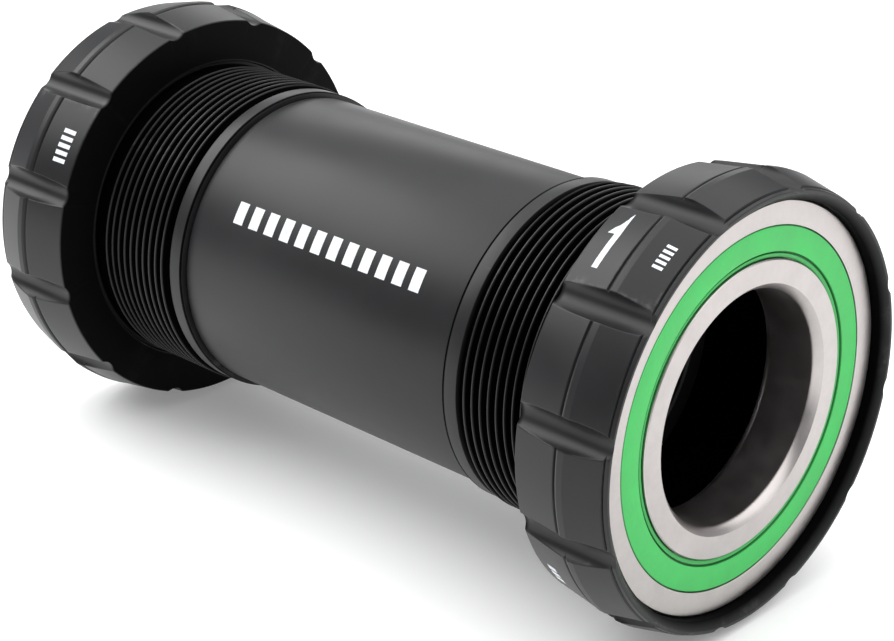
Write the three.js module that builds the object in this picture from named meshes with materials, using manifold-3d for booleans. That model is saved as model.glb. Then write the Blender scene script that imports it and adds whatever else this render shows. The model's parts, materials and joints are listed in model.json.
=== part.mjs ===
// Threaded bicycle bottom bracket with external bearing cups.
// Millimetres. +Y runs along the spindle axis to the rider's left, +X forward, +Z up.
// The origin is on the spindle axis, half way between the two cups.
import * as THREE from "three";
import { mergeVertices } from "three/addons/utils/BufferGeometryUtils.js";
import { ParametricGeometry } from "three/addons/geometries/ParametricGeometry.js";
import Module from "manifold-3d";

const wasm = await Module();
wasm.setup();

// ---- driving dimensions ----
const SHELL_WIDTH = 68; // between the two flange faces that clamp the frame's shell
const SPINDLE_R = 12; // 24 mm spindle
const GAP = 0.05; // between faces of one body that touch on the real part

const BEARING_OD = 42;
const BEARING_W = 7;
const BEARING_Y = 39.95; // mid-plane of the bearing
const BALL_R = 3.969 / 2; // 5/32 inch balls
const BALL_COUNT = 14;
const PITCH_R = 16.78; // ball pitch circle
const GROOVE_R = 2.2; // raceway groove section
const INNER_LAND_R = 15.1; // inner race outside, under the seal lip
const INNER_SHOULDER_R = 15.5;
const OUTER_SHOULDER_R = 18.05;
const SEAL_SEAT_R = 18.5; // step in the outer race that holds a seal
const SEAL_IN = 2.8; // inner face of a seal, from the mid-plane
const SEAL_OUT = 3.45; // outer face of a seal, from the mid-plane

const THREAD_MAJOR_R = 34.8 / 2; // 1.370 inch thread
const THREAD_PITCH = 25.4 / 24; // 24 threads per inch
const THREAD_ROOT_R = 16.75;
const THREAD_START = 22;
const THREAD_TURNS = 10.5;
const CUP_BORE_R = 15.7;
const CUP_END = 19.6; // inner end of a cup's tube
const CUP_TUBE_TOP = 35.7;
const PILOT_R = 17.15; // plain band at the tube's inner end
const NECK_R = 16.6; // undercut between thread and flange

const FLANGE_FACE = SHELL_WIDTH / 2;
const FLANGE_EDGE_R = 22.4;
const FACE_RELIEF_R = 17.6; // shallow step round the neck that clears the thread
const CROWN_R = 23.3; // widest band of the flange
const CROWN_FROM = 39.7;
const CROWN_TO = 40.6;
const LIP_R = 22.2;
const LIP_Y = 45.1; // outermost plane of the part
const SEAT_R = BEARING_OD / 2 + 0.1;
const FLUTES = 12;
const FLUTE_R = 1.57;
const FLUTE_CENTRE_R = 23.45;
const LEFT_FLUTE_DEG = 18.75; // first flute, measured from +Z towards +X
const RIGHT_FLUTE_DEG = 11.25;

const SLEEVE_R = 16.6;
const SLEEVE_HALF = 19.33;
const SLEEVE_BORE_R = 15.2;
const SPIGOT_R = 15.4; // stepped-down ends that plug into the cups
const SPIGOT_END = 27;
const SPIGOT_BORE_R = 12.9;
const O_RING_Y = 23;
const O_RING_R = 14.85; // centre line
const O_RING_SECTION_R = 0.7;
const O_RING_GROOVE_R = 13.85;
const O_RING_GROOVE_HALF = 1.1;

// ---- facets round the axis ----
const FLANGE_SIDES = 48;
const THREAD_SIDES = 32;
const SLEEVE_SIDES = 36;
const BEARING_SIDES = 24;

// ---- materials ----
const blackAluminium = () =>
  new THREE.MeshStandardMaterial({ color: 0x1a1a1c, roughness: 0.42, metalness: 0.55 });
const bearingSteel = () =>
  new THREE.MeshStandardMaterial({ color: 0xc9c7c6, roughness: 0.3, metalness: 1 });
const ballSteel = () =>
  new THREE.MeshStandardMaterial({ color: 0xd8d8da, roughness: 0.08, metalness: 1 });
const greenRubber = () =>
  new THREE.MeshStandardMaterial({ color: 0x46c46c, roughness: 0.55, metalness: 0 });
const blackRubber = () =>
  new THREE.MeshStandardMaterial({ color: 0x101010, roughness: 0.7, metalness: 0 });
const cageNylon = () =>
  new THREE.MeshStandardMaterial({ color: 0xb9a67c, roughness: 0.6, metalness: 0 });

// ---- solids ----

// A closed geometry as a solid: shared vertices merged, collapsed triangles left out.
function solidOf(geometry) {
  const bare = new THREE.BufferGeometry().setAttribute("position", geometry.getAttribute("position"));
  bare.setIndex(geometry.index);
  const merged = mergeVertices(bare, 1e-4);
  const corners = [];
  const index = merged.index.array;
  for (let i = 0; i < index.length; i += 3) {
    const [a, b, c] = [index[i], index[i + 1], index[i + 2]];
    if (a !== b && b !== c && c !== a) corners.push(a, b, c);
  }
  const vertProperties = merged.attributes.position.array;
  const triVerts = new Uint32Array(corners);
  return new wasm.Manifold(new wasm.Mesh({ numProp: 3, vertProperties, triVerts }));
}

function geometryOf(solid) {
  const { vertProperties, triVerts } = solid.getMesh();
  return new THREE.BufferGeometry()
    .setAttribute("position", new THREE.BufferAttribute(vertProperties, 3))
    .setIndex(new THREE.BufferAttribute(triVerts, 1))
    .toNonIndexed();
}

// A ring turned about Y from a closed outline of [radius, y] points, given anticlockwise.
function turned(outline, sides) {
  const points = [...outline, outline[0]].map(([r, y]) => new THREE.Vector2(r, y));
  return new THREE.LatheGeometry(points, sides);
}

// The outline of a ring that is the same on both sides of y = 0, from the points of its
// outer and inner surfaces with y > 0, each listed away from the middle plane.
function symmetricOutline(outer, inner) {
  const below = (points) => points.map(([r, y]) => [r, -y]);
  return [...below(outer).reverse(), ...outer, ...inner.toReversed(), ...below(inner)];
}

// Points of a raceway groove cut into the radius shoulderR, from its lowest y to its highest.
function grooveArc(shoulderR, bottomSign) {
  const half = Math.acos((bottomSign * (shoulderR - PITCH_R)) / GROOVE_R);
  return [-1, -0.5, 0, 0.5, 1].map((t) => [
    PITCH_R + bottomSign * GROOVE_R * Math.cos(t * half),
    GROOVE_R * Math.sin(t * half),
  ]);
}

// ---- cup ----

// The cup's threaded tube. Rows of the surface run round the axis; those of the thread climb
// one pitch a turn, as a right-hand helix along +Y, and fade into plain rows at both ends.
function threadedTube() {
  const before = [
    [CUP_BORE_R, CUP_END],
    [PILOT_R - 0.4, CUP_END],
    [PILOT_R, CUP_END + 0.4],
    [PILOT_R, THREAD_START - 0.5],
    [THREAD_ROOT_R, THREAD_START - 0.2],
  ];
  const after = [
    [NECK_R, THREAD_START + THREAD_TURNS * THREAD_PITCH + 0.2],
    [NECK_R, CUP_TUBE_TOP],
    [CUP_BORE_R, CUP_TUBE_TOP],
    [CUP_BORE_R, CUP_END],
  ];
  const length = THREAD_TURNS * THREAD_PITCH;
  const threadRows = 2 * THREAD_TURNS + 3;
  const threadPoint = (row, turn) => {
    const climb = (row / 2 - 1 + turn) * THREAD_PITCH;
    const y = THREE.MathUtils.clamp(climb, 0, length);
    const fade = Math.min(1, Math.max(0, Math.min(climb, length - climb) / (THREAD_PITCH / 2)));
    const crest = row % 2 === 1 ? (THREAD_MAJOR_R - THREAD_ROOT_R) * fade : 0;
    return [THREAD_ROOT_R + crest, THREAD_START + y];
  };
  const rows = before.length + threadRows + after.length - 1;
  const pointAt = (u, v, target) => {
    const row = Math.round(v * rows);
    const threadRow = row - before.length;
    const [r, y] =
      threadRow < 0
        ? before[row]
        : threadRow < threadRows
          ? threadPoint(threadRow, u)
          : after[threadRow - threadRows];
    const angle = (u % 1) * 2 * Math.PI;
    target.set(r * Math.sin(angle), y, r * Math.cos(angle));
  };
  return new ParametricGeometry(pointAt, THREAD_SIDES, rows);
}

// The flange that stands outside the frame: crowned rim, lip, bearing seat and floor.
function flange() {
  const seatFloor = BEARING_Y - BEARING_W / 2 - GAP;
  const relief = seatFloor - 0.5;
  return turned(
    [
      [CUP_BORE_R + 0.5, FLANGE_FACE + 0.3],
      [FACE_RELIEF_R, FLANGE_FACE + 0.3],
      [FACE_RELIEF_R + 0.1, FLANGE_FACE],
      [FLANGE_EDGE_R - 0.15, FLANGE_FACE],
      [FLANGE_EDGE_R, FLANGE_FACE + 0.15],
      [CROWN_R - 0.1, CROWN_FROM - 0.35],
      [CROWN_R - 0.35, CROWN_FROM - 0.2],
      [CROWN_R, CROWN_FROM],
      [CROWN_R, CROWN_TO],
      [LIP_R + 0.15, LIP_Y - 0.35],
      [LIP_R, LIP_Y],
      [SEAT_R, LIP_Y - 0.5],
      [SEAT_R, seatFloor],
      [SEAT_R - 2.5, seatFloor],
      [SEAT_R - 2.5, relief],
      [CUP_BORE_R + 0.5, relief],
    ],
    FLANGE_SIDES,
  );
}

// One of the round grooves that a wrench grips, running along the whole flange.
function fluteCutter(angle) {
  const cutter = new THREE.CylinderGeometry(FLUTE_R, FLUTE_R, LIP_Y - FLANGE_FACE + 2, 10);
  return cutter.translate(
    FLUTE_CENTRE_R * Math.sin(angle),
    (LIP_Y + FLANGE_FACE) / 2,
    FLUTE_CENTRE_R * Math.cos(angle),
  );
}

function cup() {
  let solid = solidOf(threadedTube()).add(solidOf(flange()));
  for (let i = 0; i < FLUTES; i++) {
    solid = solid.subtract(solidOf(fluteCutter((i * 2 * Math.PI) / FLUTES)));
  }
  return geometryOf(solid);
}

// ---- bearing, centred on y = 0 ----

function outerRace() {
  const half = BEARING_W / 2;
  const r = BEARING_OD / 2;
  return turned(
    [
      [r, -half + 0.3],
      [r, half - 0.3],
      [r - 0.3, half],
      [SEAL_SEAT_R, half],
      [SEAL_SEAT_R, SEAL_IN - GAP],
      [OUTER_SHOULDER_R, SEAL_IN - GAP],
      ...grooveArc(OUTER_SHOULDER_R, 1).reverse(),
      [OUTER_SHOULDER_R, GAP - SEAL_IN],
      [SEAL_SEAT_R, GAP - SEAL_IN],
      [SEAL_SEAT_R, -half],
      [r - 0.3, -half],
    ],
    BEARING_SIDES,
  );
}

function innerRace() {
  const half = BEARING_W / 2;
  const chamfer = 0.6;
  return turned(
    [
      [SPINDLE_R + chamfer, -half],
      [INNER_LAND_R, -half],
      [INNER_LAND_R, -SEAL_IN + 0.1],
      [INNER_SHOULDER_R, -SEAL_IN + 0.1],
      ...grooveArc(INNER_SHOULDER_R, -1),
      [INNER_SHOULDER_R, SEAL_IN - 0.1],
      [INNER_LAND_R, SEAL_IN - 0.1],
      [INNER_LAND_R, half],
      [SPINDLE_R + chamfer, half],
      [SPINDLE_R, half - chamfer],
      [SPINDLE_R, -half + chamfer],
    ],
    BEARING_SIDES,
  );
}

// A rubber seal facing +Y, with a lower lip that runs round the inner race.
function seal() {
  const lipR = INNER_LAND_R + 0.2;
  return turned(
    [
      [lipR, SEAL_IN],
      [SEAL_SEAT_R - 0.1, SEAL_IN],
      [SEAL_SEAT_R - 0.1, SEAL_OUT],
      [lipR + 0.5, SEAL_OUT],
      [lipR + 0.5, SEAL_OUT - 0.25],
      [lipR, SEAL_OUT - 0.25],
    ],
    BEARING_SIDES,
  );
}

// A crown cage: a ring with a round pocket for each ball, open towards +Y.
function ballCage() {
  const ring = turned(
    [
      [15.75, -2.6],
      [17.75, -2.6],
      [17.75, 1.1],
      [15.75, 1.1],
    ],
    BEARING_SIDES,
  );
  let solid = solidOf(ring);
  for (let i = 0; i < BALL_COUNT; i++) {
    const pocket = new THREE.CylinderGeometry(BALL_R + 0.17, BALL_R + 0.17, 6, 12);
    pocket.rotateX(Math.PI / 2).translate(0, 0, PITCH_R).rotateY(ballAngle(i));
    solid = solid.subtract(solidOf(pocket));
  }
  return geometryOf(solid);
}

const ballAngle = (i) => (i * 2 * Math.PI) / BALL_COUNT;

function ball(i) {
  return new THREE.IcosahedronGeometry(BALL_R, 1).translate(0, 0, PITCH_R).rotateY(ballAngle(i));
}

// ---- sleeve ----

function sleeve() {
  const groove = [O_RING_Y - O_RING_GROOVE_HALF, O_RING_Y + O_RING_GROOVE_HALF];
  const outer = [
    [SLEEVE_R, SLEEVE_HALF],
    [SPIGOT_R, SLEEVE_HALF],
    [SPIGOT_R, groove[0]],
    [O_RING_GROOVE_R, groove[0]],
    [O_RING_GROOVE_R, groove[1]],
    [SPIGOT_R, groove[1]],
    [SPIGOT_R, SPIGOT_END - 0.3],
    [SPIGOT_R - 0.3, SPIGOT_END],
  ];
  const inner = [
    [SLEEVE_BORE_R, SLEEVE_HALF - 3],
    [SPIGOT_BORE_R, SLEEVE_HALF - 1],
    [SPIGOT_BORE_R, SPIGOT_END],
  ];
  return turned(symmetricOutline(outer, inner), SLEEVE_SIDES);
}

function oRing() {
  const corners = [0, 1, 2, 3, 4, 5].map((i) => (i * Math.PI) / 3);
  const section = corners.map((a) => [
    O_RING_R + O_RING_SECTION_R * Math.cos(a),
    O_RING_Y + O_RING_SECTION_R * Math.sin(a),
  ]);
  return turned(section, BEARING_SIDES);
}

// ---- assembly ----

function piece(name, geometry, material) {
  const mesh = new THREE.Mesh(geometry, material);
  mesh.name = name;
  return mesh;
}

function bearing(side) {
  const group = new THREE.Group();
  group.add(piece(`${side}_outer_race`, outerRace(), bearingSteel()));
  group.add(piece(`${side}_inner_race`, innerRace(), bearingSteel()));
  group.add(piece(`${side}_outboard_seal`, seal(), greenRubber()));
  const inboard = piece(`${side}_inboard_seal`, seal(), blackRubber());
  inboard.rotation.x = Math.PI;
  group.add(inboard);
  group.add(piece(`${side}_ball_cage`, ballCage(), cageNylon()));
  for (let i = 0; i < BALL_COUNT; i++) {
    const number = String(i + 1).padStart(2, "0");
    group.add(piece(`${side}_ball_${number}`, ball(i), ballSteel()));
  }
  group.position.y = BEARING_Y;
  return group;
}

// Everything on one side of the sleeve. The right side is the mirror image of the left, which
// makes its thread left-handed.
function sideAssembly(side, fluteDeg, mirror) {
  const group = new THREE.Group();
  const cupMesh = piece(`${side}_cup`, cup(), blackAluminium());
  cupMesh.rotation.y = THREE.MathUtils.degToRad(fluteDeg);
  group.add(cupMesh);
  group.add(piece(`${side}_o_ring`, oRing(), blackRubber()));
  group.add(bearing(side));
  group.scale.y = mirror;
  return group;
}

const bottomBracket = new THREE.Group();
bottomBracket.add(piece("centre_sleeve", sleeve(), blackAluminium()));
bottomBracket.add(sideAssembly("left", LEFT_FLUTE_DEG, 1));
bottomBracket.add(sideAssembly("right", RIGHT_FLUTE_DEG, -1));

export default bottomBracket;
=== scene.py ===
"""Threaded bottom bracket with external cups: the fine surfaces and materials over the CAD frame.

The spindle axis is the frame's Y axis. Lengths are in millimetres and become metres when a mesh is
made. Each ring is a closed outline of (radius, y) points turned about Y, drawn for the left side;
the right side is its mirror image.
"""

import json
import math

import bmesh
import bpy
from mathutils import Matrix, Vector


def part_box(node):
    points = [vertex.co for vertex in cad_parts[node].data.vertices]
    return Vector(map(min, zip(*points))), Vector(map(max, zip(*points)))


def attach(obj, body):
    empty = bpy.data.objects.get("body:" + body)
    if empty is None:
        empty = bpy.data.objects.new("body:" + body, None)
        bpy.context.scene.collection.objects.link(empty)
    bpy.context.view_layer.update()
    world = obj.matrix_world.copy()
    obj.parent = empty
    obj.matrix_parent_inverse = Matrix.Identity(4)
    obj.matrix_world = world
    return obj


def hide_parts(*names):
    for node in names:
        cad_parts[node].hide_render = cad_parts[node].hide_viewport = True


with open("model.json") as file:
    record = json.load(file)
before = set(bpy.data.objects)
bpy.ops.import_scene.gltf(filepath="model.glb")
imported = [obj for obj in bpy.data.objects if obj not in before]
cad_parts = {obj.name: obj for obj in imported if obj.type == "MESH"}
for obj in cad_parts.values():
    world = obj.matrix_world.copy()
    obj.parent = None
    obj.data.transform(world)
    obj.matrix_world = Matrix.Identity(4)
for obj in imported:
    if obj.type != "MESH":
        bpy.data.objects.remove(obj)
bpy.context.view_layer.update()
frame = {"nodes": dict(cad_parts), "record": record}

MM = 0.001
SIDES = {"left": 1, "right": -1}


def node_reach(node):
    """How far a node reaches along -Y, +Y and away from the axis, in millimetres."""
    low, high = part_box(node)
    return low.y / MM, high.y / MM, max(high.x, high.z) / MM


# ---- sizes taken from the frame ----
CUP_END, LIP_Y, CUP_REACH = node_reach("left_cup")
BEARING_BACK, BEARING_FACE, BEARING_R = node_reach("left_outer_race")
BEARING_MID = (BEARING_BACK + BEARING_FACE) / 2
SEAL_BACK, SEAL_FACE, SEAL_R = node_reach("left_outboard_seal")
SPIGOT_END, SLEEVE_R = node_reach("centre_sleeve")[1:]
RING_LOW, RING_HIGH, RING_REACH = node_reach("left_o_ring")
CAGE_REACH = node_reach("left_ball_cage")[2]
FLANGE_FACE = frame["record"]["mounts"][0]["pos_m"][1] / MM
BALLS = [n for n in frame["nodes"] if n.startswith("left_ball_") and n != "left_ball_cage"]

# ---- cup ----
CAD_RIM_SIDES = 48  # the box touches the middle of its flats
CROWN_R = CUP_REACH / math.cos(math.pi / CAD_RIM_SIDES)
CROWN_FROM, CROWN_TO = FLANGE_FACE + 5.7, FLANGE_FACE + 6.6
FLANGE_EDGE_R = CROWN_R - 0.9
FACE_RELIEF_R = 17.6
GROOVE_Y = FLANGE_FACE + 5.5
LIP_R = CROWN_R - 1.0
LIP_STEP_R, LIP_STEP_Y = LIP_R + 0.13, LIP_Y - 0.68  # where the rim's cone ends below the lip
RECESS_R = BEARING_R + 0.05
CUP_BORE_R = 15.7
PILOT_R = 17.15
NECK_R = 16.6
THREAD_MAJOR_R, THREAD_ROOT_R = 17.4, 16.55
THREAD_PITCH = 25.4 / 24
THREAD_START = CUP_END + 2.4
THREAD_TURNS = 10.5
THREAD_SHAPE = (  # one pitch, as (place in pitches, height from root to crest)
    (0, 0),
    (0.12, 0),
    (0.27, 0.4),
    (0.4, 0.92),
    (0.45, 1),
    (0.55, 1),
    (0.6, 0.92),
    (0.73, 0.4),
    (0.88, 0),
)
FLUTES = 12
FLUTE_R = 1.57
FLUTE_CENTRE_R = CROWN_R + 0.15
FLUTE_EDGE_ROUND = 0.12
FIRST_FLUTE_DEG = {"left": 18.75, "right": 11.25}  # from +Z towards +X

# ---- bearing ----
SPINDLE_R = 12.0
LEAD_IN = 0.72
INNER_LAND_R = 15.1
INNER_SHOULDER_R = 15.5
OUTER_SHOULDER_R = 18.05
SEAL_SEAT_R = SEAL_R + 0.05
SEAL_GROOVE_R = INNER_LAND_R + 0.62
BALL_R = 3.969 / 2
CAGE_BORE_R = 15.75
PITCH_R = (CAGE_REACH + CAGE_BORE_R) / 2
RACEWAY_R = 2.15

# ---- sleeve ----
SLEEVE_HALF = CUP_END - 0.28
SPIGOT_R = 15.4
SPIGOT_BORE_R = 12.9
SLEEVE_BORE_R = 15.2
O_RING_GROOVE_R = 13.85

# ---- print ----
PRINT_LIFT = 0.02
PRINT_DEPTH = 0.05

# ---- facets ----
TURN_STEPS = 256
RIM_STEP = 0.3  # longest step along the fluted rim
BALL_CUTS = 7
PRINT_STEPS = 8


# ---- outlines ----


def rounded(corners, arc_steps=4):
    """A closed outline from (r, y, fillet radius) corners, with each fillet as an arc."""
    points = []
    for i, (r, y, fillet) in enumerate(corners):
        here = Vector((r, y))
        back = Vector(corners[i - 1][:2]) - here
        ahead = Vector(corners[(i + 1) % len(corners)][:2]) - here
        if fillet <= 0:
            points.append((r, y))
            continue
        half = back.angle(ahead) / 2
        reach = min(fillet / math.tan(half), 0.45 * back.length, 0.45 * ahead.length)
        radius = reach * math.tan(half)
        back.normalize()
        ahead.normalize()
        centre = here + (back + ahead).normalized() * (radius / math.sin(half))
        start = here + back * reach - centre
        end = here + ahead * reach - centre
        sweep = start.angle_signed(end)
        for k in range(arc_steps + 1):
            turn = -sweep * k / arc_steps
            c, s = math.cos(turn), math.sin(turn)
            points.append((centre.x + c * start.x - s * start.y, centre.y + s * start.x + c * start.y))
    return points


def fill_in(points, longest):
    """The same open line with no step longer than longest."""
    filled = [points[0]]
    for a, b in zip(points, points[1:]):
        steps = max(1, math.ceil(math.dist(a, b) / longest))
        for k in range(1, steps + 1):
            filled.append((a[0] + (b[0] - a[0]) * k / steps, a[1] + (b[1] - a[1]) * k / steps))
    return filled


def raceway(shoulder_r, outward, steps=14):
    """Points of the ball groove cut into a shoulder, from the lowest y to the highest."""
    half = math.acos(outward * (shoulder_r - PITCH_R) / RACEWAY_R)
    angles = [half * (2 * k / steps - 1) for k in range(steps + 1)]
    return [
        (PITCH_R + outward * RACEWAY_R * math.cos(a), BEARING_MID + RACEWAY_R * math.sin(a))
        for a in angles
    ]


# ---- meshes ----


def make_object(name, columns, side, material, joined=True):
    """A closed mesh from columns of (x, y, z) points, each of which is one closed outline.

    The last column joins the first, or with joined off lies on it, shifted along the thread.
    """
    sign = SIDES[side]
    rows = len(columns[0])
    verts = [(x * MM, y * MM * sign, z * MM) for column in columns for x, y, z in column]
    faces = []
    for i in range(len(columns) if joined else len(columns) - 1):
        a, b = i * rows, ((i + 1) % len(columns)) * rows
        for j in range(rows):
            k = (j + 1) % rows
            faces.append((a + j, b + j, b + k, a + k))
    return finish_mesh(name, verts, faces, material)


def finish_mesh(name, verts, faces, material, sharp_deg=38):
    """Make the object, with doubled points merged and edges past sharp_deg left sharp."""
    mesh = bpy.data.meshes.new(name)
    mesh.from_pydata(verts, [], faces)
    bm = bmesh.new()
    bm.from_mesh(mesh)
    bmesh.ops.remove_doubles(bm, verts=bm.verts, dist=2e-4 * MM)
    bmesh.ops.dissolve_degenerate(bm, edges=bm.edges, dist=1e-4 * MM)
    bmesh.ops.recalc_face_normals(bm, faces=bm.faces)
    bm.to_mesh(mesh)
    bm.free()
    mesh.polygons.foreach_set("use_smooth", [True] * len(mesh.polygons))
    mesh.set_sharp_from_angle(angle=math.radians(sharp_deg))
    mesh.materials.append(material)
    obj = bpy.data.objects.new(name, mesh)
    bpy.context.scene.collection.objects.link(obj)
    return obj


def on_ring(r, y, angle):
    """The point at radius r and height y, at an angle from +Z towards +X."""
    return (r * math.sin(angle), y, r * math.cos(angle))


def turned(name, outline, side, material):
    """A ring: the outline turned about Y."""
    angles = [2 * math.pi * i / TURN_STEPS for i in range(TURN_STEPS)]
    return make_object(name, [[on_ring(r, y, a) for r, y in outline] for a in angles], side, material)


def place(obj, body, slot, *nodes):
    """Tie a piece to its body and hide the CAD nodes that it stands for; slot is not used."""
    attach(obj, body)
    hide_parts(*nodes)


# ---- cup ----


def smooth_min(a, b, blend):
    """The smaller of a and b, rounded off where they are within blend of each other."""
    h = max(0.0, min(1.0, 0.5 + 0.5 * (b - a) / blend))
    return b + (a - b) * h - blend * h * (1 - h)


def flute_half_angle(r):
    """Angle from a flute's middle to its edge on a surface of radius r."""
    smallest = math.radians(1.4)
    cosine = (r * r + FLUTE_CENTRE_R**2 - FLUTE_R**2) / (2 * r * FLUTE_CENTRE_R)
    return max(smallest, math.acos(min(1.0, cosine)))


def fluted_radius(r, from_flute):
    """The radius r, cut back by the flute whose middle is at the angle from_flute away."""
    aside = FLUTE_CENTRE_R * math.sin(from_flute)
    if abs(aside) >= FLUTE_R:
        return r
    floor = FLUTE_CENTRE_R * math.cos(from_flute) - math.sqrt(FLUTE_R**2 - aside * aside)
    return smooth_min(r, floor, FLUTE_EDGE_ROUND)


def sector_angles(r):
    """Angles of the mesh columns over one flute and the land after it, close together at the edges."""
    half = flute_half_angle(r)
    flute_shares = (-1, -0.98, -0.94, -0.86, -0.72, -0.5, -0.25, 0, 0.25, 0.5, 0.72, 0.86, 0.94, 0.98)
    near_edge = [math.radians(d) for d in (0, 0.1, 0.25, 0.5, 1.2)]
    land_end = 2 * math.pi / FLUTES - half
    first, last = half + near_edge[-1], land_end - near_edge[-1]
    steps = 9
    inside = [first + (last - first) * k / steps for k in range(1, steps)]
    rising = [half + d for d in near_edge]
    falling = [land_end - d for d in reversed(near_edge[1:])]
    return [half * s for s in flute_shares] + rising + inside + falling


def thread_rows():
    """Rows of the thread, each as (place in pitches, height from root to crest)."""
    turns = math.ceil(THREAD_TURNS) + 1
    rows = [(turn + at, height) for turn in range(turns) for at, height in THREAD_SHAPE]
    return rows + [(turns, 0)]


def thread_point(at, height, share_of_turn):
    """Radius and y of a thread row: a right-hand helix along +Y that fades out at both ends."""
    climb = (at - 1 + share_of_turn) * THREAD_PITCH
    length = THREAD_TURNS * THREAD_PITCH
    y = min(max(climb, 0), length)
    fade = min(1.0, max(0.0, min(climb, length - climb) / (0.5 * THREAD_PITCH)))
    return THREAD_ROOT_R + (THREAD_MAJOR_R - THREAD_ROOT_R) * height * fade, THREAD_START + y


def cup_rows():
    """The cup's outline in four stretches: pilot, neck, rim with its flutes, and inside.

    The thread goes between the first two.
    """
    thread_end = THREAD_START + THREAD_TURNS * THREAD_PITCH
    seat_floor = BEARING_BACK - 0.03
    corners = [
        (CUP_BORE_R, CUP_END + 0.3, 0),
        (CUP_BORE_R + 0.3, CUP_END, 0.05),
        (PILOT_R - 0.1, CUP_END, 0.04),
        (PILOT_R, CUP_END + 0.1, 0.04),
        (PILOT_R, THREAD_START - 0.5, 0.06),
        (THREAD_ROOT_R, THREAD_START - 0.4, 0),
        (NECK_R, thread_end + 0.15, 0),
        (NECK_R, FLANGE_FACE + 0.3, 0.15),
        (FACE_RELIEF_R, FLANGE_FACE + 0.3, 0.05),
        (FACE_RELIEF_R + 0.1, FLANGE_FACE, 0.03),
        (FLANGE_EDGE_R - 0.12, FLANGE_FACE, 0.06),
        (FLANGE_EDGE_R, FLANGE_FACE + 0.14, 0.08),
        (CROWN_R - 0.14, GROOVE_Y - 0.17, 0.06),
        (CROWN_R - 0.45, GROOVE_Y, 0.05),
        (CROWN_R - 0.1, GROOVE_Y + 0.17, 0.06),
        (CROWN_R, CROWN_FROM + 0.2, 0.2),
        (CROWN_R, CROWN_TO, 0.1),
        (LIP_STEP_R, LIP_STEP_Y, 0.05),
        (LIP_R - 0.2, LIP_Y - 0.58, 0.03),
        (LIP_R, LIP_Y - 0.45, 0.08),
        (LIP_R - 0.1, LIP_Y - 0.05, 0.1),
        (LIP_R - 0.45, LIP_Y - 0.08, 0.1),
        (RECESS_R + 0.04, LIP_Y - 0.8, 0.08),
        (RECESS_R, LIP_Y - 0.9, 0.05),
        (RECESS_R, seat_floor, 0.1),
        (RECESS_R - 2.45, seat_floor, 0.1),
        (RECESS_R - 2.45, seat_floor - 0.5, 0.1),
        (CUP_BORE_R + 0.2, seat_floor - 0.5, 0),
        (CUP_BORE_R, seat_floor - 0.7, 0),
    ]
    points = rounded(corners)
    thread = first_index(points, lambda r, y: y > THREAD_START - 0.41 and r < PILOT_R - 0.3) + 1
    rim = first_index(points, lambda r, y: r > FLANGE_EDGE_R - 0.5)
    recess = first_index(points, lambda r, y: y > FLANGE_FACE + 1 and r < RECESS_R + 0.2)
    fluted = fill_in(points[rim:recess], RIM_STEP)
    return points[:thread], points[thread:rim], fluted, points[recess:]


def first_index(points, wanted):
    """The place of the first point for which wanted(r, y) is true."""
    return next(i for i, (r, y) in enumerate(points) if wanted(r, y))


def make_cup(side, material):
    """A cup, one flute and the land after it at a time, with the thread climbing all the way."""
    pilot, neck, rim, inside = cup_rows()
    threads = thread_rows()
    plain = sector_angles(LIP_R)
    rim_angles = [sector_angles(r) for r, _ in rim]
    first_flute = math.radians(FIRST_FLUTE_DEG[side])
    columns = []
    for sector in range(FLUTES):
        for k, angle in enumerate(plain):
            share = (sector * 2 * math.pi / FLUTES + angle - plain[0]) / (2 * math.pi)
            flute = first_flute + sector * 2 * math.pi / FLUTES
            column = [on_ring(r, y, flute + angle) for r, y in pilot]
            column += [on_ring(*thread_point(*row, share), flute + angle) for row in threads]
            column += [on_ring(r, y, flute + angle) for r, y in neck]
            for (r, y), angles in zip(rim, rim_angles):
                column.append(on_ring(fluted_radius(r, angles[k]), y, flute + angles[k]))
            column += [on_ring(r, y, flute + angle) for r, y in inside]
            columns.append(column)
    seam = seam_column(columns[0], pilot, threads, first_flute + plain[0])
    cup = make_object(f"{side}_cup_body", columns + [seam], side, material, joined=False)
    place(cup, f"{side}_cup", "black_aluminium", f"{side}_cup")


def seam_column(first, pilot, threads, angle):
    """The last column of a cup: the first one again, with its thread rows one pitch further on."""
    start = len(pilot)
    rows = [on_ring(*thread_point(*row, 1.0), angle) for row in threads]
    return first[:start] + rows + first[start + len(threads) :]


# ---- bearing ----


def make_outer_race(side, material):
    r, mid, half = BEARING_R, BEARING_MID, (BEARING_FACE - BEARING_BACK) / 2
    step = SEAL_BACK - mid - 0.03
    outline = rounded(
        [
            (r, mid - half + 0.2, 0.1),
            (r, mid + half - 0.2, 0.1),
            (r - 0.2, mid + half, 0.1),
            (SEAL_SEAT_R, mid + half, 0.08),
            (SEAL_SEAT_R, mid + step, 0),
            (OUTER_SHOULDER_R, mid + step, 0.05),
        ]
    )
    outline += list(reversed(raceway(OUTER_SHOULDER_R, 1)))
    outline += [
        (OUTER_SHOULDER_R, mid - step),
        (SEAL_SEAT_R, mid - step),
        (SEAL_SEAT_R, mid - half),
        (r - 0.2, mid - half),
    ]
    race = turned(f"{side}_outer_race_ring", outline, side, material)
    place(race, f"{side}_cup", "race_steel", f"{side}_outer_race")


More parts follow.
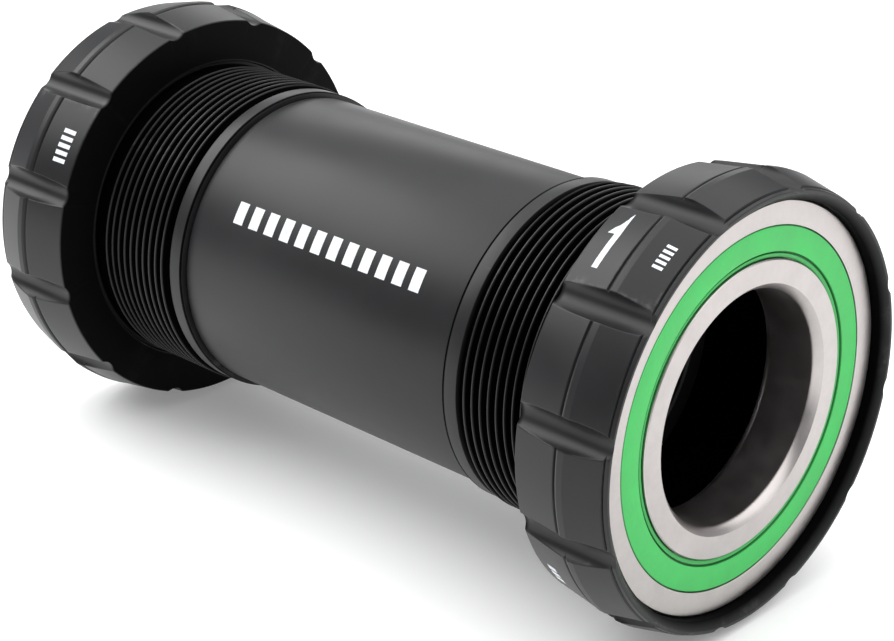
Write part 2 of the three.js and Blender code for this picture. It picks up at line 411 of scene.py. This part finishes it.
def make_inner_race(side, material):
    mid, half = BEARING_MID, (BEARING_FACE - BEARING_BACK) / 2
    step = SEAL_BACK - mid - 0.1
    lower = [
        (INNER_LAND_R - 0.1, mid - half),
        (INNER_LAND_R, mid - half + 0.1),
        (INNER_LAND_R, mid - step),
        (INNER_SHOULDER_R, mid - step),
    ]
    upper = [(r, 2 * mid - y) for r, y in reversed(lower)]
    bore = bore_line(mid, half)
    outline = lower + raceway(INNER_SHOULDER_R, -1) + upper + bore
    race = turned(f"{side}_inner_race_ring", outline, side, material)
    place(race, f"{side}_inner_race", "race_steel", f"{side}_inner_race")


def bore_line(mid, half, steps=5):
    """The bore's surface from the outboard face, down a slightly domed lead-in, to the inboard one."""
    slopes = [math.radians(40 + 24 * (k + 0.5) / steps) for k in range(steps)]
    length = LEAD_IN / sum(math.cos(a) for a in slopes)
    points = [(SPINDLE_R + LEAD_IN, mid + half)]
    for a in slopes:
        r, y = points[-1]
        points.append((r - length * math.cos(a), y - length * math.sin(a)))
    points.append((SPINDLE_R, points[-1][1] - 0.1))
    return points + [(r, 2 * mid - y) for r, y in reversed(points)]


def seal_outline():
    """A rubber seal facing outboard: flat body, a groove, and a lower lip on the inner race."""
    lip = INNER_LAND_R + 0.06
    return rounded(
        [
            (lip + 0.1, SEAL_BACK, 0),
            (SEAL_R, SEAL_BACK, 0.05),
            (SEAL_R, SEAL_FACE - 0.12, 0.05),
            (SEAL_R - 0.12, SEAL_FACE, 0.06),
            (SEAL_GROOVE_R + 0.12, SEAL_FACE, 0.08),
            (SEAL_GROOVE_R + 0.06, SEAL_FACE - 0.35, 0.04),
            (SEAL_GROOVE_R - 0.06, SEAL_FACE - 0.35, 0.04),
            (SEAL_GROOVE_R - 0.12, SEAL_FACE - 0.12, 0.06),
            (lip + 0.1, SEAL_FACE - 0.2, 0.08),
            (lip, SEAL_FACE - 0.32, 0.03),
        ]
    )


def make_seals(side, green, black):
    outboard = turned(f"{side}_outboard_seal_ring", seal_outline(), side, green)
    place(outboard, f"{side}_cup", "green_seal", f"{side}_outboard_seal")
    flipped = [(r, 2 * BEARING_MID - y) for r, y in reversed(seal_outline())]
    inboard = turned(f"{side}_inboard_seal_ring", flipped, side, black)
    place(inboard, f"{side}_cup", "black_seal", f"{side}_inboard_seal")


def make_ball(side, node, material):
    """A ball as a cube grid pushed out to a sphere, so that its facets are even."""
    low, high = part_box(node)
    centre = (low + high) / 2
    bm = bmesh.new()
    bmesh.ops.create_cube(bm, size=1)
    bmesh.ops.subdivide_edges(bm, edges=bm.edges, cuts=BALL_CUTS, use_grid_fill=True)
    for v in bm.verts:
        v.co = centre + v.co.normalized() * BALL_R * MM
    verts = [v.co.copy() for v in bm.verts]
    faces = [[v.index for v in f.verts] for f in bm.faces]
    bm.free()
    ball = finish_mesh(node.replace("ball", "bearing_ball"), verts, faces, material)
    place(ball, f"{side}_ball_set", "ball_steel", node)


# ---- sleeve and O-rings ----


def make_sleeve(material):
    """The tube between the cups, with a spigot and an O-ring groove at each end."""
    groove_low, groove_high = RING_LOW - 0.35, RING_HIGH + 0.35
    outer = [
        (SLEEVE_R, SLEEVE_HALF, 0.06),
        (SPIGOT_R, SLEEVE_HALF, 0.08),
        (SPIGOT_R, groove_low, 0.06),
        (O_RING_GROOVE_R, groove_low, 0.12),
        (O_RING_GROOVE_R, groove_high, 0.12),
        (SPIGOT_R, groove_high, 0.06),
        (SPIGOT_R, SPIGOT_END - 0.4, 0.1),
        (SPIGOT_R - 0.3, SPIGOT_END, 0.1),
    ]
    inner = [
        (SPIGOT_BORE_R + 0.2, SPIGOT_END, 0),
        (SPIGOT_BORE_R, SPIGOT_END - 0.2, 0),
        (SPIGOT_BORE_R, SLEEVE_HALF - 1, 0.2),
        (SLEEVE_BORE_R, SLEEVE_HALF - 3, 0.2),
    ]
    mirrored = [(r, -y, f) for r, y, f in reversed(outer + inner)]
    sleeve = turned("sleeve_tube", rounded(outer + inner + mirrored), "left", material)
    place(sleeve, "sleeve", "black_aluminium", "centre_sleeve")


def make_o_ring(side, material):
    """The cord is a little thicker than the six-sided one of the CAD."""
    radius = (RING_HIGH - RING_LOW) / 2 / math.cos(math.pi / 6) + 0.05
    centre_r, centre_y = RING_REACH - radius + 0.1, (RING_LOW + RING_HIGH) / 2
    steps = 20
    angles = [2 * math.pi * k / steps for k in range(steps)]
    outline = [(centre_r + radius * math.cos(a), centre_y + radius * math.sin(a)) for a in angles]
    ring = turned(f"{side}_o_ring_cord", outline, side, material)
    place(ring, f"{side}_o_ring", "o_ring_rubber", f"{side}_o_ring")


# ---- printed marks ----


def rim_radius(y):
    """Radius of a cup's land at height y, between the flange's edges and the crown."""
    if y < GROOVE_Y:
        share = (y - FLANGE_FACE) / (GROOVE_Y - FLANGE_FACE)
        return FLANGE_EDGE_R + (CROWN_R - 0.14 - FLANGE_EDGE_R) * share
    share = (y - CROWN_TO) / (LIP_STEP_Y - CROWN_TO)
    return CROWN_R + (LIP_STEP_R - CROWN_R) * max(0, share)


def print_marks(name, quads, side, body, radius_at, material):
    """Thin closed patches on a turned surface, from quads of (degrees from +Z, y) corners."""
    verts, faces = [], []
    for a, b, c, d in quads:
        start = len(verts)
        for lift in (PRINT_LIFT, -PRINT_DEPTH):
            for i in range(PRINT_STEPS + 1):
                for p, q in ((a, b), (d, c)):
                    degrees = p[0] + (q[0] - p[0]) * i / PRINT_STEPS
                    y = p[1] + (q[1] - p[1]) * i / PRINT_STEPS
                    point = on_ring(radius_at(y) + lift, y * SIDES[side], math.radians(degrees))
                    verts.append(Vector(point) * MM)
        under = 2 * (PRINT_STEPS + 1)
        for i in range(PRINT_STEPS):
            k = start + 2 * i
            faces.append((k, k + 1, k + 3, k + 2))
            faces.append((k + under, k + under + 2, k + under + 3, k + under + 1))
            faces.append((k, k + 2, k + under + 2, k + under))
            faces.append((k + 1, k + under + 1, k + under + 3, k + 3))
        for k in (start, start + 2 * PRINT_STEPS):
            faces.append((k, k + 1, k + under + 1, k + under))
    marks = finish_mesh(name, verts, faces, material)
    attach(marks, body)


def block(first_deg, last_deg, low_y, high_y):
    """The corners of a mark that runs straight round and along the axis."""
    return ((first_deg, low_y), (last_deg, low_y), (last_deg, high_y), (first_deg, high_y))


def row_round(first_deg, last_deg, low_y, high_y, count, gap):
    """Blocks one after another round the axis; gap is their share of the pitch left bare."""
    pitch = (last_deg - first_deg) / (count - gap)
    starts = [first_deg + i * pitch for i in range(count)]
    return [block(start, start + (1 - gap) * pitch, low_y, high_y) for start in starts]


def row_along(first_y, last_y, low_deg, high_deg, count, gap):
    """Blocks one after another along the axis."""
    pitch = (last_y - first_y) / (count - gap)
    starts = [first_y + i * pitch for i in range(count)]
    return [block(low_deg, high_deg, start, start + (1 - gap) * pitch) for start in starts]


def tightening_arrow(tip_deg, tail_deg, y, half_width=0.36, head_deg=6.8, barb=1.2):
    """An arrow round the axis with one barb, towards the tip."""
    head = tip_deg + head_deg
    shaft = block(head, tail_deg, y - half_width, y + half_width)
    point = ((tip_deg, y + 0.1), (head, y + half_width), (head + 0.1, y - barb), (head, y - barb))
    return [shaft, point]


def make_marks(ink):
    """Plain marks where the photographed part has print."""
    arrow = tightening_arrow(tip_deg=23.8, tail_deg=40.6, y=FLANGE_FACE + 2.55)
    print_marks("left_arrow_print", arrow, "left", "left_cup", rim_radius, ink)
    ticks = row_round(29.2, 36.0, low_y=LIP_Y - 3.0, high_y=LIP_Y - 1.95, count=5, gap=0.45)
    print_marks("left_tick_print", ticks, "left", "left_cup", rim_radius, ink)
    low = row_round(122.0, 129.0, low_y=FLANGE_FACE + 1.5, high_y=FLANGE_FACE + 2.6, count=3, gap=0.3)
    print_marks("left_low_print", low, "left", "left_cup", rim_radius, ink)
    far = row_round(52.8, 62.5, low_y=FLANGE_FACE + 1.4, high_y=FLANGE_FACE + 3.1, count=5, gap=0.42)
    print_marks("right_block_print", far, "right", "right_cup", rim_radius, ink)
    bars = row_along(first_y=-13.6, last_y=13.9, low_deg=53.0, high_deg=61.4, count=12, gap=0.42)
    print_marks("sleeve_bar_print", bars, "left", "sleeve", lambda y: SLEEVE_R, ink)


# ---- materials ----

BLACK = (0.014, 0.014, 0.015)
# the colour of the cups' painted shade
PAINTED_SHADE_BLACK = (0.0018, 0.0018, 0.0019)
WORN_GREY = (0.16, 0.16, 0.165)
RACE_STEEL = (0.51, 0.475, 0.465)
BALL_STEEL = (0.86, 0.86, 0.87)
GREEN_RUBBER = (0.045, 0.53, 0.105)
BLACK_RUBBER = (0.02, 0.02, 0.021)
O_RING_RUBBER = (0.012, 0.012, 0.012)
CAGE_NYLON = (0.55, 0.46, 0.30)
THIN_INK, FULL_INK = (0.62, 0.66, 0.7), (0.84, 0.87, 0.9)
MIX_COLOUR_A, MIX_COLOUR_B, MIX_COLOUR_OUT = 6, 7, 2  # a Mix node repeats its socket names


def new_material(name):
    mat = bpy.data.materials.new(name)
    mat.use_nodes = True
    nodes, links = mat.node_tree.nodes, mat.node_tree.links
    return mat, nodes, links, nodes["Principled BSDF"]


def noise(nodes, links, vector, scale, detail, roughness=0.6):
    tex = nodes.new("ShaderNodeTexNoise")
    tex.inputs["Scale"].default_value = scale
    tex.inputs["Detail"].default_value = detail
    tex.inputs["Roughness"].default_value = roughness
    links.new(vector, tex.inputs["Vector"])
    return tex.outputs["Fac"]


def feed(links, socket, value):
    """Give an input a number, a colour or another node's output."""
    if isinstance(value, bpy.types.NodeSocket):
        links.new(value, socket)
    elif isinstance(value, tuple):
        socket.default_value = (*value, 1)
    else:
        socket.default_value = value


def ramp(nodes, links, value, start, end, low=0.0, high=1.0):
    """low at start, high at end and flat beyond both; end may be the smaller one."""
    node = nodes.new("ShaderNodeMapRange")
    node.inputs["From Min"].default_value = start
    node.inputs["From Max"].default_value = end
    node.inputs["To Min"].default_value = low
    node.inputs["To Max"].default_value = high
    links.new(value, node.inputs["Value"])
    return node.outputs["Result"]


def to_range(nodes, links, cloud, low, high):
    """A noise, whose values mostly lie between 0.3 and 0.7, spread from low to high."""
    return ramp(nodes, links, cloud, 0.3, 0.7, low, high)


def mix_colours(nodes, links, factor, a, b):
    node = nodes.new("ShaderNodeMix")
    node.data_type = "RGBA"
    feed(links, node.inputs["Factor"], factor)
    feed(links, node.inputs[MIX_COLOUR_A], a)
    feed(links, node.inputs[MIX_COLOUR_B], b)
    return node.outputs[MIX_COLOUR_OUT]


def mix_values(nodes, links, factor, a, b):
    node = nodes.new("ShaderNodeMix")
    feed(links, node.inputs["Factor"], factor)
    feed(links, node.inputs["A"], a)
    feed(links, node.inputs["B"], b)
    return node.outputs["Result"]


def cloudy_colour(nodes, links, cloud, base, low, high):
    """The base colour, times low where the noise is low and times high where it is high."""
    factor = to_range(nodes, links, cloud, 0, 1)
    dark, light = (tuple(min(1, c * share) for c in base) for share in (low, high))
    return mix_colours(nodes, links, factor, dark, light)


def bump(nodes, links, height, strength, distance, normal=None):
    node = nodes.new("ShaderNodeBump")
    node.inputs["Strength"].default_value = strength
    node.inputs["Distance"].default_value = distance
    links.new(height, node.inputs["Height"])
    if normal is not None:
        links.new(normal, node.inputs["Normal"])
    return node.outputs["Normal"]


def object_point(nodes):
    return nodes.new("ShaderNodeTexCoord").outputs["Object"]


def turning_marks(nodes, links, point, scale):
    """A value that changes only with the distance from the axis and along it, as tool marks do."""
    radius, height = axis_distances(nodes, links, point)
    rings = nodes.new("ShaderNodeCombineXYZ")
    links.new(radius, rings.inputs["X"])
    links.new(height, rings.inputs["Y"])
    return noise(nodes, links, rings.outputs[0], scale, detail=3.0)


def math_node(nodes, links, operation, a, b):
    node = nodes.new("ShaderNodeMath")
    node.operation = operation
    feed(links, node.inputs[0], a)
    feed(links, node.inputs[1], b)
    return node.outputs[0]


def product(nodes, links, first, *others):
    for other in others:
        first = math_node(nodes, links, "MULTIPLY", first, other)
    return first


def largest(nodes, links, first, *others):
    for other in others:
        first = math_node(nodes, links, "MAXIMUM", first, other)
    return first


def axis_distances(nodes, links, point):
    """Distance from the spindle axis, and distance from the middle plane."""
    split = nodes.new("ShaderNodeSeparateXYZ")
    links.new(point, split.inputs[0])
    flat = nodes.new("ShaderNodeCombineXYZ")
    links.new(split.outputs["X"], flat.inputs["X"])
    links.new(split.outputs["Z"], flat.inputs["Y"])
    length = nodes.new("ShaderNodeVectorMath")
    length.operation = "LENGTH"
    links.new(flat.outputs[0], length.inputs[0])
    return length.outputs["Value"], math_node(nodes, links, "ABSOLUTE", split.outputs["Y"], 0.0)


def cup_painted_shade_mask(nodes, links, point):
    """Painted shade on a cup's black: the thread valleys, the edge of the gap at the sleeve, the face
    towards the frame and the bearing recess."""
    radius, height = axis_distances(nodes, links, point)

    def past(value, start, end):
        """0 before start and 1 past end, in millimetres."""
        return ramp(nodes, links, value, start * MM, end * MM)

    valleys = product(
        nodes,
        links,
        past(radius, THREAD_MAJOR_R - 0.04, THREAD_MAJOR_R - 0.2),
        past(height, THREAD_START - 0.5, THREAD_START - 0.4),
    )
    gap_edge = product(
        nodes,
        links,
        past(height, CUP_END + 0.38, CUP_END + 0.3),
        past(radius, PILOT_R - 0.12, PILOT_R - 0.06),
    )
    face = product(
        nodes,
        links,
        past(height, FLANGE_FACE - 0.1, FLANGE_FACE - 0.05),
        past(height, FLANGE_FACE + 0.5, FLANGE_FACE + 0.05),
        past(radius, FLANGE_EDGE_R - 0.02, FLANGE_EDGE_R - 0.15),
        past(radius, FACE_RELIEF_R + 0.12, FACE_RELIEF_R + 0.3),
        0.85,
    )
    recess = product(
        nodes,
        links,
        past(radius, RECESS_R + 0.9, RECESS_R + 0.03),
        past(height, FLANGE_FACE + 1, FLANGE_FACE + 1.1),
        0.95,
    )
    return largest(nodes, links, valleys, gap_edge, face, recess)


def black_aluminium(name, base, roughness, painted_shade_mask=None):
    """Black anodised aluminium: satin, fine grained, faintly cloudy, and rubbed paler on its edges.
    Where the painted shade mask is high it is painted shade: a near-black metal which mirrors next to
    nothing."""
    mat, nodes, links, bsdf = new_material(name)
    point = object_point(nodes)
    cloud = noise(nodes, links, point, 90, detail=5)
    grain = noise(nodes, links, point, 6000, detail=2)
    scuffs = noise(nodes, links, point, 900, detail=6, roughness=0.7)
    marks = turning_marks(nodes, links, point, 2500)
    pointiness = nodes.new("ShaderNodeNewGeometry").outputs["Pointiness"]
    edges = ramp(nodes, links, pointiness, 0.54, 0.66)
    worn = product(nodes, links, edges, ramp(nodes, links, scuffs, 0.42, 0.62), 0.25)
    colour = cloudy_colour(nodes, links, cloud, base, 0.8, 1.25)
    colour = mix_colours(nodes, links, worn, colour, WORN_GREY)
    gloss = to_range(nodes, links, cloud, roughness - 0.03, roughness + 0.04)
    if painted_shade_mask is not None:
        # painted shade: near-black colour, rough, and metal so that it mirrors next to nothing
        painted_shade = painted_shade_mask(nodes, links, point)
        colour = mix_colours(nodes, links, painted_shade, colour, PAINTED_SHADE_BLACK)
        gloss = mix_values(nodes, links, painted_shade, gloss, 0.75)
        links.new(painted_shade, bsdf.inputs["Metallic"])
    links.new(colour, bsdf.inputs["Base Color"])
    links.new(gloss, bsdf.inputs["Roughness"])
    bsdf.inputs["Specular IOR Level"].default_value = 0.295
    fine = bump(nodes, links, grain, 0.12, 0.00002)
    links.new(bump(nodes, links, marks, 0.06, 0.00003, fine), bsdf.inputs["Normal"])
    return mat


def ground_steel(name, base, roughness):
    """Ground bearing steel with fine circular marks and faint smudges."""
    mat, nodes, links, bsdf = new_material(name)
    point = object_point(nodes)
    marks = turning_marks(nodes, links, point, 9000)
    smudge = noise(nodes, links, point, 260, detail=8, roughness=0.7)
    grain = noise(nodes, links, point, 5000, detail=2)
    links.new(cloudy_colour(nodes, links, smudge, base, 0.86, 1.05), bsdf.inputs["Base Color"])
    links.new(to_range(nodes, links, smudge, roughness - 0.05, roughness + 0.06), bsdf.inputs["Roughness"])
    fine = bump(nodes, links, grain, 0.2, 0.00001)
    links.new(bump(nodes, links, marks, 0.15, 0.00002, fine), bsdf.inputs["Normal"])
    bsdf.inputs["Metallic"].default_value = 1.0
    return mat


def polished_steel(name, base):
    """Polished ball steel, with a faint haze."""
    mat, nodes, links, bsdf = new_material(name)
    point = object_point(nodes)
    haze = noise(nodes, links, point, 900, detail=5)
    links.new(cloudy_colour(nodes, links, haze, base, 0.94, 1.0), bsdf.inputs["Base Color"])
    links.new(to_range(nodes, links, haze, 0.05, 0.11), bsdf.inputs["Roughness"])
    bsdf.inputs["Metallic"].default_value = 1.0
    return mat


def moulded_rubber(name, base, roughness):
    """Moulded rubber or nylon: matte, with a fine uneven skin."""
    mat, nodes, links, bsdf = new_material(name)
    point = object_point(nodes)
    cloud = noise(nodes, links, point, 140, detail=5)
    skin = noise(nodes, links, point, 1500, detail=4)
    links.new(cloudy_colour(nodes, links, cloud, base, 0.88, 1.08), bsdf.inputs["Base Color"])
    links.new(to_range(nodes, links, cloud, roughness - 0.05, roughness + 0.05), bsdf.inputs["Roughness"])
    links.new(bump(nodes, links, skin, 0.25, 0.00004), bsdf.inputs["Normal"])
    return mat


def seal_rubber(name, base, roughness):
    """Moulded rubber, with painted shade in the groove and along the outer edge, and darker on the lip."""
    mat, nodes, links, bsdf = new_material(name)
    point = object_point(nodes)
    radius, _ = axis_distances(nodes, links, point)
    cloud = noise(nodes, links, point, 300, detail=6)
    skin = noise(nodes, links, point, 1000, detail=5)

    def past(start, end):
        """0 before start and 1 past end, in millimetres from the axis."""
        return ramp(nodes, links, radius, start * MM, end * MM)

    groove = product(
        nodes,
        links,
        past(SEAL_GROOVE_R - 0.14, SEAL_GROOVE_R - 0.08),
        past(SEAL_GROOVE_R + 0.14, SEAL_GROOVE_R + 0.08),
    )
    edge = past(SEAL_R - 0.13, SEAL_R - 0.05)
    lip = product(nodes, links, past(SEAL_GROOVE_R + 0.02, SEAL_GROOVE_R - 0.02), 0.35)
    # painted shade in the groove and along the outer edge; the lip is darkened as well
    painted_shade_and_dark_lip = largest(nodes, links, groove, edge, lip)
    unshaded = cloudy_colour(nodes, links, cloud, base, 0.9, 1.06)
    colour = mix_colours(nodes, links, painted_shade_and_dark_lip, unshaded, tuple(c * 0.3 for c in base))
    links.new(colour, bsdf.inputs["Base Color"])
    links.new(to_range(nodes, links, cloud, roughness - 0.05, roughness + 0.05), bsdf.inputs["Roughness"])
    links.new(bump(nodes, links, skin, 0.5, 0.00006), bsdf.inputs["Normal"])
    return mat


def printed_ink(name):
    """White pad-printed ink, thin and slightly uneven."""
    mat, nodes, links, bsdf = new_material(name)
    point = object_point(nodes)
    thin = noise(nodes, links, point, 1800, detail=5)
    cover = ramp(nodes, links, thin, 0.3, 0.6)
    colour = mix_colours(nodes, links, cover, THIN_INK, FULL_INK)
    links.new(colour, bsdf.inputs["Base Color"])
    links.new(to_range(nodes, links, thin, 0.5, 0.65), bsdf.inputs["Roughness"])
    links.new(bump(nodes, links, thin, 0.2, 0.00002), bsdf.inputs["Normal"])
    return mat


def plain_floor_material():
    """Pale paper that glows a little, so that it stays near white under the soft light."""
    mat, nodes, links, bsdf = new_material("floor_paper")
    cloud = noise(nodes, links, object_point(nodes), 4, detail=2)
    colour = mix_colours(nodes, links, cloud, (0.86, 0.86, 0.86), (0.88, 0.88, 0.88))
    links.new(colour, bsdf.inputs["Base Color"])
    bsdf.inputs["Roughness"].default_value = 0.9
    bsdf.inputs["Specular IOR Level"].default_value = 0.1
    bsdf.inputs["Emission Color"].default_value = (1, 1, 1, 1)
    bsdf.inputs["Emission Strength"].default_value = 0.2
    return mat


# ---- scene ----

CAMERA_PLACE = Vector((161.57, 160.03, 96.30))
CAMERA_BACK = Vector((0.65792, 0.63619, 0.40298))  # from what it looks at, to the camera
CAMERA_LENS = 92.39
FLOOR_HALF = 3.0  # metres
SOFTBOXES = {  # place in metres, width and height in metres, watts
    "top_softbox": ((-0.05, 0.05, 0.6), (1.3, 1.3), 10),
    "left_softbox": ((0.18, -0.42, 0.38), (0.5, 0.3), 2.0),
    "back_softbox": ((-0.45, -0.45, 0.22), (0.4, 0.2), 0.5),
    "right_softbox": ((-0.50, 0.60, 0.26), (0.5, 0.4), 0.6),
}


def make_floor():
    z = -CROWN_R * MM
    corners = [(x * FLOOR_HALF, y * FLOOR_HALF, z) for x, y in ((-1, -1), (1, -1), (1, 1), (-1, 1))]
    mesh = bpy.data.meshes.new("floor")
    mesh.from_pydata(corners, [], [(0, 1, 2, 3)])
    floor = bpy.data.objects.new("floor", mesh)
    bpy.context.scene.collection.objects.link(floor)
    mesh.materials.append(plain_floor_material())


def make_softbox(name, place_m, size_m, watts):
    """A rectangular light that faces the origin."""
    data = bpy.data.lights.new(name, "AREA")
    data.shape = "RECTANGLE"
    data.size, data.size_y = size_m
    data.energy = watts
    light = bpy.data.objects.new(name, data)
    bpy.context.scene.collection.objects.link(light)
    light.location = place_m
    light.rotation_euler = (-Vector(place_m)).to_track_quat("-Z", "Y").to_euler()


def make_lights():
    for name, (place_m, size_m, watts) in SOFTBOXES.items():
        make_softbox(name, place_m, size_m, watts)
    world = bpy.data.worlds.new("studio")
    world.use_nodes = True
    background = world.node_tree.nodes["Background"]
    background.inputs["Color"].default_value = (0.95, 0.97, 1.0, 1)
    background.inputs["Strength"].default_value = 0.28
    bpy.context.scene.world = world


def make_camera():
    camera = bpy.data.objects.new("camera", bpy.data.cameras.new("camera"))
    bpy.context.scene.collection.objects.link(camera)
    camera.rotation_mode = "QUATERNION"
    camera.rotation_quaternion = (-CAMERA_BACK.normalized()).to_track_quat("-Z", "Y")
    camera.location = CAMERA_PLACE * MM
    camera.data.lens = CAMERA_LENS
    camera.data.sensor_width = 36
    camera.data.clip_start, camera.data.clip_end = 0.01, 20
    bpy.context.scene.camera = camera


def paint_cage(side, material):
    """The CAD cage is shown as it is, hidden behind the seals, and only gets its material."""
    cage = frame["nodes"][f"{side}_ball_cage"]
    cage.data.materials.clear()
    cage.data.materials.append(material)


def build():
    sleeve_black = black_aluminium("black_anodised_sleeve", BLACK, roughness=0.38)
    cup_black = black_aluminium("black_anodised_cups", BLACK, roughness=0.36, painted_shade_mask=cup_painted_shade_mask)
    steel = ground_steel("ground_steel", RACE_STEEL, roughness=0.35)
    balls = polished_steel("ball_steel", BALL_STEEL)
    green = seal_rubber("green_rubber", GREEN_RUBBER, roughness=0.5)
    black = seal_rubber("black_rubber", BLACK_RUBBER, roughness=0.6)
    cord = moulded_rubber("o_ring_rubber", O_RING_RUBBER, roughness=0.4)
    nylon = moulded_rubber("cage_nylon", CAGE_NYLON, roughness=0.55)
    make_sleeve(sleeve_black)
    for side in SIDES:
        make_cup(side, cup_black)
        make_o_ring(side, cord)
        make_outer_race(side, steel)
        make_inner_race(side, steel)
        make_seals(side, green, black)
        for node in BALLS:
            make_ball(side, node.replace("left", side), balls)
        paint_cage(side, nylon)
    make_marks(printed_ink("white_print"))


make_camera()
build()
make_floor()
make_lights()
bpy.context.scene.view_settings.view_transform = "Standard"
